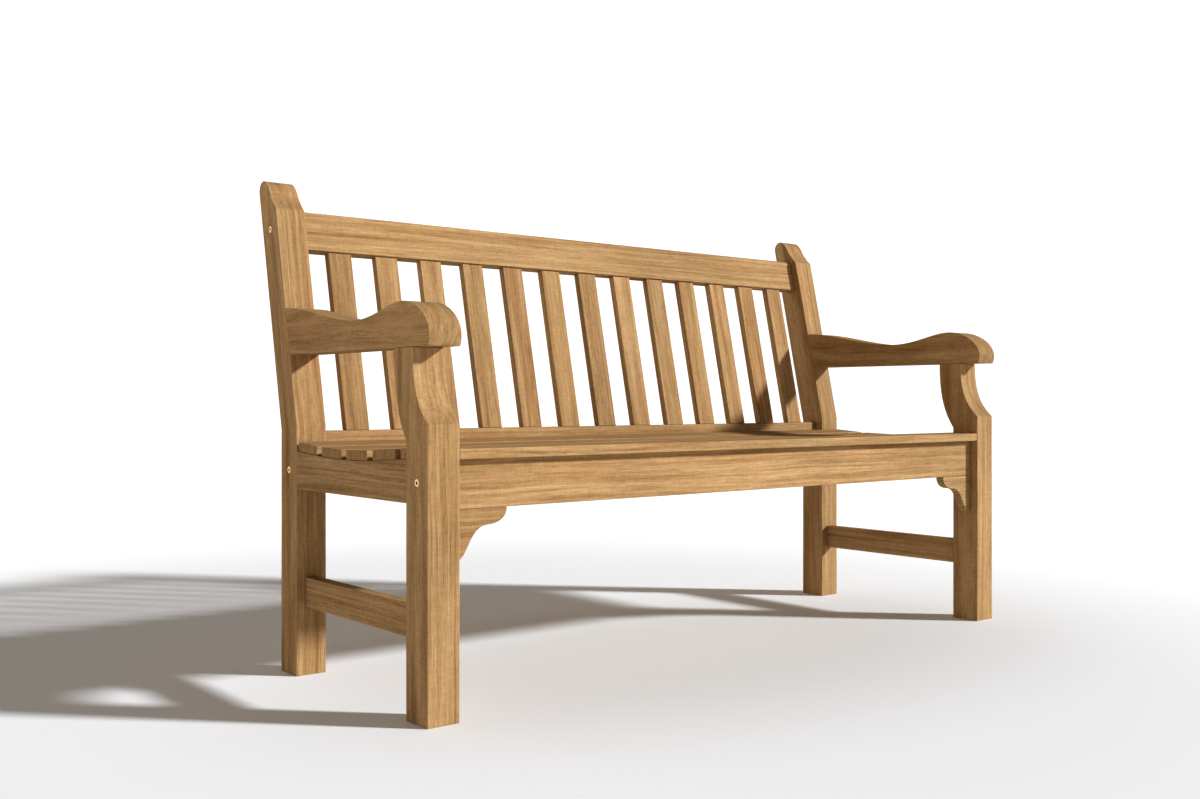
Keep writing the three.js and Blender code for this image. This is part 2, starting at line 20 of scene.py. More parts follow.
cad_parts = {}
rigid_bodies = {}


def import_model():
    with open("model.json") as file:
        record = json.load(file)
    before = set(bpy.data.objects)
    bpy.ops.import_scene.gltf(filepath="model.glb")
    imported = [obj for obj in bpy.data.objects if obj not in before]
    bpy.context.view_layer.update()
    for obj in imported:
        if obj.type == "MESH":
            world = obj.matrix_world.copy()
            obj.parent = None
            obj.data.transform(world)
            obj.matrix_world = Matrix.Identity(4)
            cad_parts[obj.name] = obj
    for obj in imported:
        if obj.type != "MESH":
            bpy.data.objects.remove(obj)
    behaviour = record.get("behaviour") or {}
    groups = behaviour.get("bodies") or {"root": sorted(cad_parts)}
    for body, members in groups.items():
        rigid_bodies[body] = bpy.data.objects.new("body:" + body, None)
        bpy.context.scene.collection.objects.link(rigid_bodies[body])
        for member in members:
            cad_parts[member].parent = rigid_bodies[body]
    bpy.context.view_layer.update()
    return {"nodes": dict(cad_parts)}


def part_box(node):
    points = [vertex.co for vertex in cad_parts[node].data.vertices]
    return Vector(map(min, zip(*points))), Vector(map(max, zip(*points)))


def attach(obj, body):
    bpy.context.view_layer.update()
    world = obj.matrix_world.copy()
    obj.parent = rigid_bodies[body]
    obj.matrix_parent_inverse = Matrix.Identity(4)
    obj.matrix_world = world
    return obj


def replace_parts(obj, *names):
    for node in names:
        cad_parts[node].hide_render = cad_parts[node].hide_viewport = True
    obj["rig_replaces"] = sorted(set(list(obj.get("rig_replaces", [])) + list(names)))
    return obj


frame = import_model()

# %% [markdown]
# ## The camera
# It stands low, at about the height of a seated child's eyes, and looks level at the left end
# of the bench, so that uprights stay upright and the front runs away to the right.

# %% Camera
CAMERA_PLACE = (-1.71597, -1.91677, 0.50326)
CAMERA_HEADING = math.radians(-39.042)
LEVEL = math.radians(90)
SENSOR_WIDTH = 36
LENS = 36.572

camera_data = bpy.data.cameras.new("camera")
camera_data.sensor_width = SENSOR_WIDTH
camera_data.lens = LENS
camera = bpy.data.objects.new("camera", camera_data)
camera.location = CAMERA_PLACE
camera.rotation_euler = (LEVEL, 0, CAMERA_HEADING)
bpy.context.scene.collection.objects.link(camera)
bpy.context.scene.camera = camera
print("camera at", tuple(camera.location))

# %% [markdown]
# ## Sizes
# Lengths are in millimetres, as a maker would mark them. Distances back are measured from the
# front face of the front legs. One helper turns such a mark into a place in the frame.

# %% Sizes
MM = 0.001
FRONT_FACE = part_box("front_leg_left")[0].y
GAP = 0.3  # left open wherever two pieces meet
HALF_LENGTH = 750
LEG_WIDTH = 58.7
LEG_DEPTH = 64.5
LEG_MIDDLE = LEG_DEPTH / 2
INNER = HALF_LENGTH - LEG_WIDTH
REAR_LEG = 457  # front face of the rear legs
REAR_MIDDLE = REAR_LEG + LEG_MIDDLE
BEND = 455  # above this height the rear legs lean back
RAKE = math.radians(12.4)
RAIL_THICKNESS = 26.5
RAIL_BOTTOM = 330
SIDES = {"left": -1, "right": 1}


def spot(x, y, z):
    """A mark in millimetres as a place in the frame."""
    return Vector((x * MM, FRONT_FACE + y * MM, z * MM))


def lean(through, up):
    """Back and height of a mark on the raked part of a rear leg: through it, and up it."""
    back = REAR_LEG + through * math.cos(RAKE) + up * math.sin(RAKE)
    return back, BEND - through * math.sin(RAKE) + up * math.cos(RAKE)


print("front face at", round(FRONT_FACE, 4), "rear legs lean", round(math.degrees(RAKE), 1))

# %% [markdown]
# ## Sawing a board
# On the real bench a board is planed square, its outline is cut on a bandsaw, and its edges
# are eased with a router. The same order works in Blender: a face in the shape of the
# outline, pulled out to the board's thickness, then a bevel on every sharp edge. A box with a
# subdivision surface would go soft at the shoulders, and a flat curve with depth can't ease
# two edges differently.

# %% Outlines
CURVE_STEPS = 18


def saw_line(*cuts):
    """An outline from corners (2 numbers) and curved cuts (2 handles and an end, 6 numbers)."""
    points = [Vector(cuts[0])]
    for cut in cuts[1:]:
        if len(cut) == 2:
            points.append(Vector(cut))
            continue
        first, second, end = Vector(cut[:2]), Vector(cut[2:4]), Vector(cut[4:])
        points += interpolate_bezier(points[-1], first, second, end, CURVE_STEPS + 1)[1:]
    return points


def saw(outline, axis, low, high):
    """A board with its outline across one axis, pulled out along it from low to high."""
    start = {
        "X": lambda a, b: spot(low, a, b),
        "Y": lambda a, b: spot(a, low, b),
        "Z": lambda a, b: spot(a, b, low),
    }[axis]
    board = bmesh.new()
    face = board.faces.new([board.verts.new(start(*point)) for point in outline])
    pulled = bmesh.ops.extrude_face_region(board, geom=[face])["geom"]
    far_side = [item for item in pulled if isinstance(item, bmesh.types.BMVert)]
    thickness = Vector([(high - low) * MM if name == axis else 0 for name in "XYZ"])
    bmesh.ops.translate(board, verts=far_side, vec=thickness)
    bmesh.ops.recalc_face_normals(board, faces=board.faces)
    return board


# %% Easing
SHARP = math.radians(55)  # kinks in a sawn outline are gentler, and stay crisp
EASE = 1.6


def ease(board, radius=EASE, segments=3, chosen=None):
    """Rounds the sharp edges, or only the chosen ones, and remembers the faces of the arris."""
    arris = board.faces.layers.float.get("arris") or board.faces.layers.float.new("arris")
    edges = [edge for edge in board.edges if edge.calc_face_angle(0) > SHARP]
    if chosen:
        edges = [edge for edge in edges if chosen(edge)]
    made = bmesh.ops.bevel(
        board,
        geom=edges,
        offset=radius * MM,
        offset_type="OFFSET",
        segments=segments,
        profile=0.5,
        affect="EDGES",
        material=-1,
        clamp_overlap=True,
    )
    for face in made["faces"]:
        face[arris] = 1
    return board


trial = ease(saw([(0, 0), (50, 0), (50, 90), (0, 90)], "X", 0, 300))
trial_closed = all(edge.is_manifold for edge in trial.edges)
print("a trial block has", len(trial.faces), "faces, closed:", trial_closed)
trial.free()

# %% [markdown]
# ## Boring holes
# Bolts pull the legs to the rails, and each head sits in a pocket bored in the leg. A pocket
# is a bar taken away from the board with a Boolean, which is kept only as its result: the
# modifier is applied at once and the bar is thrown away.

# %% Boring
HOLE_SIDES = 40


def bar(start, end, radius, sides=HOLE_SIDES):
    """A round bar from one place to another, as a mesh in the frame."""
    shape = bmesh.new()
    way = end - start
    turned = way.to_track_quat("Z", "Y").to_matrix().to_4x4()
    bmesh.ops.create_cone(
        shape,
        cap_ends=True,
        segments=sides,
        radius1=radius * MM,
        radius2=radius * MM,
        depth=way.length,
        matrix=Matrix.Translation((start + end) / 2) @ turned,
    )
    mesh = bpy.data.meshes.new("bar")
    shape.to_mesh(mesh)
    shape.free()
    return mesh


def bore(piece, holes):
    """Takes each hole (start, end, radius and perhaps sides) out of a piece."""
    for hole in holes:
        cutter = bpy.data.objects.new("cutter", bar(*hole))
        bpy.context.scene.collection.objects.link(cutter)
        cut = piece.modifiers.new("bore", "BOOLEAN")
        cut.operation = "DIFFERENCE"
        cut.solver = "EXACT"
        cut.object = cutter
        graph = bpy.context.evaluated_depsgraph_get()
        bored = bpy.data.meshes.new_from_object(piece.evaluated_get(graph), depsgraph=graph)
        piece.modifiers.clear()
        piece.data = bored
        bpy.data.objects.remove(cutter)


print("holes are bored with", HOLE_SIDES, "sides")

# %% [markdown]
# ## The run of the grain
# A board is a slice of a log, so its figure is fixed by where the heart of the log was. Each
# board carries an attribute that gives every point its place in the log: across, through and
# along, with the heart at zero. Rings are then simply distance from the heart, and a curved
# cut shows them as the real saw would. Coordinates of the object would do for a straight
# rail, but not for a leg that bends, or for slats that must not all come from one log.

# %% Laying the grain
LOG_STEP = 5.9  # metres along the log from one board's place to the next
ALONG_BENCH = (1, 0, 0)
FRONT_TO_BACK = (0, 1, 0)
UPRIGHT = (0, 0, 1)
log_number = 0


def write_attribute(mesh, name, kind, domain, values):
    """Writes one named attribute on a mesh."""
    made = mesh.attributes.new(name, kind, domain)
    made.data.foreach_set("vector" if kind == "FLOAT_VECTOR" else "value", np.ravel(values))


def read_numbers(items, name, width=3):
    """Reads a property of every vertex or face as rows of numbers."""
    values = np.empty(len(items) * width, np.float32)
    items.foreach_get(name, values)
    return values.reshape(-1, width)


def lay_grain(piece, along, heart, tone, bent):
    """Gives a board its grain: its run, where the heart lay from its middle, and its tone."""
    global log_number
    log_number += 1
    mesh = piece.data
    places = read_numbers(mesh.vertices, "co")
    along = Vector(along).normalized()
    # Across is front to back on a board that runs along the bench, and along it on the others.
    across = Vector(FRONT_TO_BACK if abs(along.x) > 0.5 else ALONG_BENCH)
    axes = np.array([across, along.cross(across), along])
    middle = (places.min(axis=0) + places.max(axis=0)) / 2
    grain = (places - middle) @ axes.T
    if bent:
        from_bend = places - np.array(spot(0, REAR_LEG, BEND)) - [middle[0], 0, 0]
        lying_back = from_bend @ np.array(Matrix.Rotation(-RAKE, 3, "X"))
        above = from_bend[:, 2] + from_bend[:, 1] * math.tan(RAKE / 2) > 0
        grain = np.where(above[:, None], lying_back, from_bend)
    grain = grain + [-heart[0] * MM, -heart[1] * MM, log_number * LOG_STEP]
    write_attribute(mesh, "grain", "FLOAT_VECTOR", "POINT", grain)
    write_attribute(mesh, "tone", "FLOAT", "POINT", np.full(len(places), tone))
    facing = np.abs(read_numbers(mesh.polygons, "normal") @ np.array(along))
    # End grain begins where a face looks within 60 degrees of the run, and is full where it
    # looks straight along it.
    write_attribute(mesh, "end_grain", "FLOAT", "FACE", np.clip(facing * 2 - 1, 0, 1))


print("each board starts", LOG_STEP, "m further along the log")

# %% [markdown]
# ## Finishing a board
# Every board is finished the same way. Weighted normals keep the broad faces flat and let
# only the eased edges turn the light, and the finished board is measured against the packed
# one that it stands for, less its hidden tenons.

# %% Finishing
teak = bpy.data.materials.new("teak_oiled_planed")
brass = bpy.data.materials.new("brass_turned")
steel = bpy.data.materials.new("steel_zinc_plated")
beech = bpy.data.materials.new("beech_dowel")
SMOOTH_BELOW = math.radians(35)
chance = random.Random(21)


def set_out(piece, material, node):
    """Links a piece, shades it, and lets it stand for its node."""
    mesh = piece.data
    mesh.materials.clear()
    mesh.materials.append(material)
    mesh.shade_smooth()
    mesh.set_sharp_from_angle(angle=SMOOTH_BELOW)
    flat = piece.modifiers.new("flat faces", "WEIGHTED_NORMAL")
    flat.keep_sharp = True
    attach(piece, "root")
    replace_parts(piece, node)


def finish_board(node, board, along, heart, holes=(), bent=False):
    """Makes a sawn and eased board a finished piece of teak."""
    closed = all(edge.is_manifold for edge in board.edges)
    mesh = bpy.data.meshes.new("teak_" + node)
    board.to_mesh(mesh)
    board.free()
    piece = bpy.data.objects.new("teak_" + node, mesh)
    bpy.context.scene.collection.objects.link(piece)
    bore(piece, holes)
    lay_grain(piece, along, heart, chance.uniform(-1, 1), bent)
    set_out(piece, teak, node)
    if not closed:
        print(node, "is open")
    return piece


print("edges stay soft below", round(math.degrees(SMOOTH_BELOW)), "degrees")

# %% [markdown]
# ## Legs
# A front leg is square up to the seat, then a double curve steps it back under the arm. It is
# sawn from a board as deep as the step, with the grain upright. A rear leg is sawn from a
# wide plank: it stands upright to just above the seat, then leans back and ends in a shaped
# ear above the top rail. The plank is cut across at the bend as well, so that the figure can
# follow both halves.

# %% Holes for bolts
BOLT_HEIGHT = 374
TOP_RAIL = (346.5, 424)
TOP_RAIL_MIDDLE = sum(TOP_RAIL) / 2
POCKET_RADIUS = 6.8
POCKET_DEPTH = 3.6
SHANK_HOLE = 3.3
BOLT_REACH = 111


def from_outside(side, distance):
    """How far along the bench a mark lies that is measured inwards from a leg's outer face."""
    return side * (HALF_LENGTH - distance)


def bolt_holes(side, back, height):
    """The pocket for a bolt's head and the hole for its shank."""
    outside = spot(from_outside(side, -1), back, height)
    pocket_end = spot(from_outside(side, POCKET_DEPTH), back, height)
    shank_end = spot(from_outside(side, BOLT_REACH), back, height)
    return [(outside, pocket_end, POCKET_RADIUS), (outside, shank_end, SHANK_HOLE)]


print("bolts stand", BOLT_HEIGHT, "mm up and reach", BOLT_REACH, "mm in")

# %% Front legs
ARM_BOTTOM = 586
BACK_SHOULDER = 438  # the curves start at these heights
FRONT_SHOULDER = 465
NECK_FRONT = 45  # and stand these distances back under the arm
NECK_BACK = 102
neck_top = ARM_BOTTOM - GAP


def leg_sides(side):
    """The two faces of a leg along the bench, the lower one first."""
    return sorted([from_outside(side, 0), from_outside(side, LEG_WIDTH)])


front_leg_line = saw_line(
    (0, 0),
    (LEG_DEPTH, 0),
    (LEG_DEPTH, BACK_SHOULDER),
    (86.5, 471, NECK_BACK, 505, NECK_BACK, neck_top),
    (NECK_FRONT, neck_top),
    (NECK_FRONT, 520, 29, 491, 0, FRONT_SHOULDER),
)
for name, side in SIDES.items():
    leg = ease(saw(front_leg_line, "X", *leg_sides(side)))
    heart = (side * chance.uniform(170, 260), chance.uniform(-25, 25))
    holes = bolt_holes(side, LEG_MIDDLE, BOLT_HEIGHT)
    piece = finish_board("front_leg_" + name, leg, UPRIGHT, heart, holes)
    print(piece.name, len(piece.data.polygons), "faces")

# %% Rear legs
EAR_TOP = 486  # up the leaning part
rear_leg_line = saw_line(
    (REAR_LEG, 0),
    (REAR_LEG + LEG_DEPTH, 0),
    (REAR_LEG + LEG_DEPTH, BEND - LEG_DEPTH * math.tan(RAKE / 2)),
    lean(LEG_DEPTH, 467),
    lean(LEG_DEPTH, 478) + lean(56, EAR_TOP) + lean(46, EAR_TOP),
    lean(34, EAR_TOP) + lean(24, 468) + lean(20.5, 455),
    lean(17, 442) + lean(8, 428) + lean(0, 416),
    (REAR_LEG, BEND),
)
mitre = (0, math.sin(RAKE / 2), math.cos(RAKE / 2))
for name, side in SIDES.items():
    leg = ease(saw(rear_leg_line, "X", *leg_sides(side)))
    whole = leg.verts[:] + leg.edges[:] + leg.faces[:]
    bmesh.ops.bisect_plane(leg, geom=whole, plane_co=spot(0, REAR_LEG, BEND), plane_no=mitre)
    heart = (side * chance.uniform(170, 260), chance.uniform(-25, 25))
    holes = bolt_holes(side, REAR_MIDDLE, BOLT_HEIGHT)
    holes += bolt_holes(side, *lean(LEG_MIDDLE, TOP_RAIL_MIDDLE))
    piece = finish_board("rear_leg_" + name, leg, UPRIGHT, heart, holes, bent=True)
    print(piece.name, len(piece.data.polygons), "faces")

# %% [markdown]
# ## Arms
# Each arm is one thick board, flat underneath, with a dip for the forearm, a hump over the
# front leg and a nose that rolls down in front. It is bandsawn from the side, so the rings
# run over the nose.

# %% Arms
ARM_REAR_TOP = 671.7
ARM_DIP = 635.5
ARM_HUMP = 659
ARM_NOSE = -5.5
ARM_EASE = 2


def leg_face(height):
    """How far back the front face of a rear leg lies at a height above its bend."""
    return REAR_LEG + (height - BEND) * math.tan(RAKE)


arm_line = saw_line(
    (-1, ARM_BOTTOM),
    (leg_face(ARM_BOTTOM) - GAP, ARM_BOTTOM),
    (leg_face(ARM_REAR_TOP) - GAP, ARM_REAR_TOP),
    (430, 672, 320, ARM_DIP, 233, ARM_DIP),
    (170, ARM_DIP, 120, ARM_HUMP, 80, ARM_HUMP),
    (40, ARM_HUMP, ARM_NOSE, 635, ARM_NOSE, 602),
    (ARM_NOSE, 594, -3, 589, -1, ARM_BOTTOM),
)
for name, side in SIDES.items():
    arm = ease(saw(arm_line[:-1], "X", *leg_sides(side)), ARM_EASE)
    heart = (side * chance.uniform(120, 160), chance.uniform(-20, 20))
    piece = finish_board("armrest_" + name, arm, FRONT_TO_BACK, heart)
    print(piece.name, len(piece.data.polygons), "faces")

# %% [markdown]
# ## Rails
# The front, rear and top rails run the length of the bench between the legs, set back a
# finger's width from their faces. Barrel nuts drop into cross holes from the back and take
# the bolts.

# %% Long rails
FRONT_RAIL_TOP = 409.5
REAR_RAIL_TOP = 445
NUT_HOLE_RADIUS = 5.3
NUT_IN_RAIL = 40
NUT_HALF = 9
RAIL_ENDS = (GAP - INNER, INNER - GAP)


def rail_faces(middle):
    """The front and back faces of a rail."""
    return middle - RAIL_THICKNESS / 2, middle + RAIL_THICKNESS / 2


def rail_holes(middle, height, place=lambda back, up: (back, up)):
    """The bolt holes in a rail's ends, and the cross holes for their barrel nuts."""
    holes = []
    for side in SIDES.values():
        x = from_outside(side, LEG_WIDTH + NUT_IN_RAIL)
        inner_end = spot(x, *place(middle - NUT_HALF - GAP, height))
        outer_end = spot(x, *place(middle + RAIL_THICKNESS, height))
        holes.append((inner_end, outer_end, NUT_HOLE_RADIUS))
        holes.append(bolt_holes(side, *place(middle, height))[1])
    return holes


def rectangle(a, b, c, d):
    """The corners of a rectangle from a to b one way and from c to d the other."""
    return [(a, c), (b, c), (b, d), (a, d)]


# Each long rail: its middle, its top and where the heart of its log lay.
LONG_RAILS = {
    "front_rail": (LEG_MIDDLE, FRONT_RAIL_TOP, (12, -95)),
    "rear_rail": (REAR_MIDDLE, REAR_RAIL_TOP, (-8, 120)),
}
for name, (middle, top, heart) in LONG_RAILS.items():
    section = rectangle(*rail_faces(middle), RAIL_BOTTOM, top)
    rail = ease(saw(section, "X", *RAIL_ENDS))
    finish_board(name, rail, ALONG_BENCH, heart, rail_holes(middle, BOLT_HEIGHT))
print("rails from", RAIL_ENDS[0], "to", RAIL_ENDS[1])

# %% Top rail
TOP_ROUND = 7
TOP_RAIL_HEART = (25, 85)
QUARTER = 0.5523  # handles this share of the radius long make a quarter circle
top_front, top_back = rail_faces(LEG_MIDDLE)
top_low, top_high = TOP_RAIL
top_rail_line = saw_line(
    lean(top_front, top_low),
    lean(top_back, top_low),
    lean(top_back, top_high),
    lean(top_front + TOP_ROUND, top_high),
    lean(top_front + TOP_ROUND * (1 - QUARTER), top_high)
    + lean(top_front, top_high - TOP_ROUND * (1 - QUARTER))
    + lean(top_front, top_high - TOP_ROUND),
)
top_rail = ease(saw(top_rail_line, "X", *RAIL_ENDS))
top_holes = rail_holes(LEG_MIDDLE, TOP_RAIL_MIDDLE, lean)
finish_board("back_top_rail", top_rail, ALONG_BENCH, TOP_RAIL_HEART, top_holes)
print("top rail from", top_low, "to", top_high, "up the legs")

# %% [markdown]
# ## The seat's hollow
# The side rails and the middle bearer are cut to a shallow hollow, and the slats lie on it as
# flat boards, each on its own chord. One circle through the front, the middle and the back
# gives it.

# %% The hollow
SEAT_HEIGHT = 426.3
HOLLOW = 8.6
SLAT_THICKNESS = 16.5
SLAT_WIDTH = 73.3
SLAT_SPACE = 18.3
HOLLOW_SLATS = 4
FRONT_SLAT = 83.3
hollow_back = FRONT_SLAT + HOLLOW_SLATS * (SLAT_WIDTH + SLAT_SPACE)
hollow_middle = (FRONT_SLAT + hollow_back) / 2
hollow_half = (hollow_back - FRONT_SLAT) / 2
hollow_radius = (hollow_half**2 + HOLLOW**2) / (2 * HOLLOW)


def hollow(back):
    """Height of the seat's surface at a distance back."""
    drop = math.sqrt(hollow_radius**2 - (back - hollow_middle) ** 2)
    return SEAT_HEIGHT - HOLLOW + hollow_radius - drop


def under_slats(back):
    """Height of the underside of the slats, and of the boards that carry them."""
    return hollow(min(max(back, FRONT_SLAT), hollow_back)) - SLAT_THICKNESS


print("the hollow's radius is", round(hollow_radius), "mm")

# %% Side rails, bearer and stretchers
SIDE_RAIL_BOTTOM = 340.5
BEARER_BOTTOM = 352
BEARER_WIDTH = 40
HOLLOW_STEPS = 14
STRETCHER = (124, 179)
STRETCHER_THICKNESS = 24
STRETCHER_ROUND = 5
ROUND_SEGMENTS = 5
between_legs = (LEG_DEPTH + GAP, REAR_LEG - GAP)
low_edge = spot(0, 0, STRETCHER[0] + 1).z


def carrying_line(front, back, bottom):
    """The outline of a board whose top follows the underside of the slats."""
    top = [back + (front - back) * step / HOLLOW_STEPS for step in range(HOLLOW_STEPS + 1)]
    return [(front, bottom), (back, bottom)] + [(y, under_slats(y) - GAP) for y in top]


def screw_places():
    """How far back the middles of the slats lie, where the bearer's screws stand."""
    first = FRONT_SLAT + SLAT_SPACE + SLAT_WIDTH / 2
    step = SLAT_WIDTH + SLAT_SPACE
    return [(LEG_DEPTH + FRONT_SLAT) / 2] + [first + step * i for i in range(HOLLOW_SLATS)]


def runs_below(edge):
    """Whether an edge is one of a stretcher's two long lower ones."""
    first, second = (vert.co for vert in edge.verts)
    return max(first.z, second.z) < low_edge and abs(first.x - second.x) < MM


for name, side in SIDES.items():
    ends = sorted([from_outside(side, 0), from_outside(side, RAIL_THICKNESS)])
    rail = ease(saw(carrying_line(*between_legs, SIDE_RAIL_BOTTOM), "X", *ends))
    heart = (side * 10, chance.uniform(70, 110))
    finish_board("side_rail_" + name, rail, FRONT_TO_BACK, heart)
    middle = from_outside(side, LEG_WIDTH / 2)
    half = STRETCHER_THICKNESS / 2
    bar_board = saw(rectangle(*between_legs, *STRETCHER), "X", middle - half, middle + half)
    ease(bar_board, STRETCHER_ROUND, ROUND_SEGMENTS, runs_below)
    ease(bar_board)
    heart = (side * 6, chance.uniform(60, 90))
    finish_board("stretcher_" + name, bar_board, FRONT_TO_BACK, heart)

SCREW_POCKET = 5
SCREW_UP = 27.5  # from the underside of a slat down to the top of a screw's head
BEARER_HEART = (8, 75)
below_bearer = BEARER_BOTTOM - 5
bearer_ends = (rail_faces(LEG_MIDDLE)[1] + GAP, rail_faces(REAR_MIDDLE)[0] - GAP)
bearer_line = carrying_line(*bearer_ends, BEARER_BOTTOM)
bearer = ease(saw(bearer_line, "X", -BEARER_WIDTH / 2, BEARER_WIDTH / 2))
pockets = [
    (spot(0, y, below_bearer), spot(0, y, under_slats(y) - SCREW_UP), SCREW_POCKET)
    for y in screw_places()
]
finish_board("seat_bearer", bearer, FRONT_TO_BACK, BEARER_HEART, pockets)
print("bearer from", bearer_ends[0], "to", bearer_ends[1])

# %% [markdown]
# ## Seat slats
# Four slats lie in the hollow. A fifth, at the front, lies flat and is notched round both
# legs, so that its ends come out flush with the side rails.

# %% Seat slats
SLAT_REACH = HALF_LENGTH - 1
SLAT_EASE = 1.1
FRONT_SLAT_FACE = 0.5
FRONT_SLAT_HEART = (-120, -50)


def chord(front):
    """The cross-section of a slat that lies on the hollow from its front edge back."""
    low, high = hollow(front), hollow(front + SLAT_WIDTH)
    tilt = Matrix.Rotation(math.atan2(high - low, SLAT_WIDTH), 2)
    middle = Vector((front + SLAT_WIDTH / 2, (low + high) / 2))
    half = SLAT_WIDTH / 2
    section = rectangle(-half, half, -SLAT_THICKNESS, 0)
    return [middle + tilt @ Vector(corner) for corner in section]


for number in range(HOLLOW_SLATS):
    front = FRONT_SLAT + SLAT_SPACE + number * (SLAT_WIDTH + SLAT_SPACE)
    slat = ease(saw(chord(front), "X", -SLAT_REACH, SLAT_REACH), SLAT_EASE)
    heart = (chance.choice([-1, 1]) * chance.uniform(90, 150), chance.uniform(-40, 40))
    finish_board(f"seat_slat_{number + 2}", slat, ALONG_BENCH, heart)

notch = INNER - GAP
behind_leg = LEG_DEPTH + GAP
half_plan = [
    (notch, FRONT_SLAT_FACE),
    (notch, behind_leg),
    (SLAT_REACH, behind_leg),
    (SLAT_REACH, FRONT_SLAT),
]
plan = half_plan + [(-x, y) for x, y in reversed(half_plan)]
front_slat = ease(saw(plan, "Z", SEAT_HEIGHT - SLAT_THICKNESS, SEAT_HEIGHT), SLAT_EASE)
finish_board("seat_slat_1", front_slat, ALONG_BENCH, FRONT_SLAT_HEART)
print("seat of", HOLLOW_SLATS + 1, "slats,", 2 * SLAT_REACH, "mm long")

# %% [markdown]
# ## Back slats
# Thirteen upright slats stand on the rear rail and run up into the top rail at the same rake
# as the legs. Each foot is cut level. They are sawn from the side, and each comes from its
# own log.

# %% Back slats
BACK_SLATS = 13
BACK_SLAT_WIDTH = 49.5
BACK_SLAT_THICKNESS = 16
back_space = (2 * INNER - BACK_SLATS * BACK_SLAT_WIDTH) / (BACK_SLATS + 1)
slat_front = LEG_MIDDLE - BACK_SLAT_THICKNESS / 2
slat_back = LEG_MIDDLE + BACK_SLAT_THICKNESS / 2


def foot(through):
    """How far up the raked leg the level foot of a slat lies."""
    return (REAR_RAIL_TOP + GAP - BEND + through * math.sin(RAKE)) / math.cos(RAKE)


slat_line = [
    lean(slat_front, foot(slat_front)),
    lean(slat_back, foot(slat_back)),
    lean(slat_back, top_low - GAP),
    lean(slat_front, top_low - GAP),
]
up_the_back = (0, math.sin(RAKE), math.cos(RAKE))
for number in range(BACK_SLATS):
    left = -INNER + back_space + number * (BACK_SLAT_WIDTH + back_space)
    slat = ease(saw(slat_line, "X", left, left + BACK_SLAT_WIDTH))
    turn = chance.uniform(0, math.pi)
    distance = chance.uniform(55, 120)
    heart = (distance * math.cos(turn), distance * math.sin(turn))
    finish_board(f"back_slat_{number + 1:02d}", slat, up_the_back, heart)
print("slats are", round(back_space, 1), "mm apart")

# %% [markdown]
# ## Corner brackets
# A shaped bracket fills the corner between each front leg and the front rail, flush with the
# rail.

# %% Brackets
BRACKET_WIDTH = 102
BRACKET_HEIGHT = 80
BRACKET_THICKNESS = 19
BRACKET_EASE = 1.2
BRACKET_HEART = (10, 90)
bracket_top = RAIL_BOTTOM - GAP
bracket_low = bracket_top - BRACKET_HEIGHT
bracket_front = rail_faces(LEG_MIDDLE)[0]


def bracket_line(side):
    """The bracket's outline, with distances measured from the leg."""

    def out(distance, up):
        return side * (INNER - GAP - distance), bracket_low + up

    return saw_line(
        out(0, BRACKET_HEIGHT),
        out(0, 0),
        out(9, 0),
        out(27, 4) + out(30, 53) + out(66, 53.5),
        out(86, 54) + out(BRACKET_WIDTH, 63) + out(BRACKET_WIDTH, BRACKET_HEIGHT),
    )


for name, side in SIDES.items():
    bracket = saw(bracket_line(side), "Y", bracket_front, bracket_front + BRACKET_THICKNESS)
    ease(bracket, BRACKET_EASE)
    piece = finish_board("corner_bracket_" + name, bracket, ALONG_BENCH, BRACKET_HEART)
    print(piece.name, len(piece.data.polygons), "faces")

# %% [markdown]
# ## Bolts
# A connector bolt has a low round head with a hexagonal socket. It is turned on a lathe, so
# its half section is spun round its axis, and the socket is then taken out with a six-sided
# bar.

# %% Bolts
HEAD_RADIUS = 6.5
HEAD = (GAP, GAP + 3)
SHANK_RADIUS = 3
SHANK_END = 108
SOCKET_RADIUS = 2.8
SOCKET_DEPTH = 2.4
SOCKET_SIDES = 6
RIM = 0.6  # the rounding of the head's edge
RIM_MIDDLE = 0.2
SPIN_STEPS = 48
half_section = [
    (HEAD[0], 0),
    (HEAD[0], HEAD_RADIUS - RIM),
    (HEAD[0] + RIM_MIDDLE, HEAD_RADIUS - RIM_MIDDLE),
    (HEAD[0] + RIM, HEAD_RADIUS),
    (HEAD[1], HEAD_RADIUS),
    (HEAD[1], SHANK_RADIUS),
    (SHANK_END - 1, SHANK_RADIUS),
    (SHANK_END, SHANK_RADIUS - 1),
    (SHANK_END, 0),
]


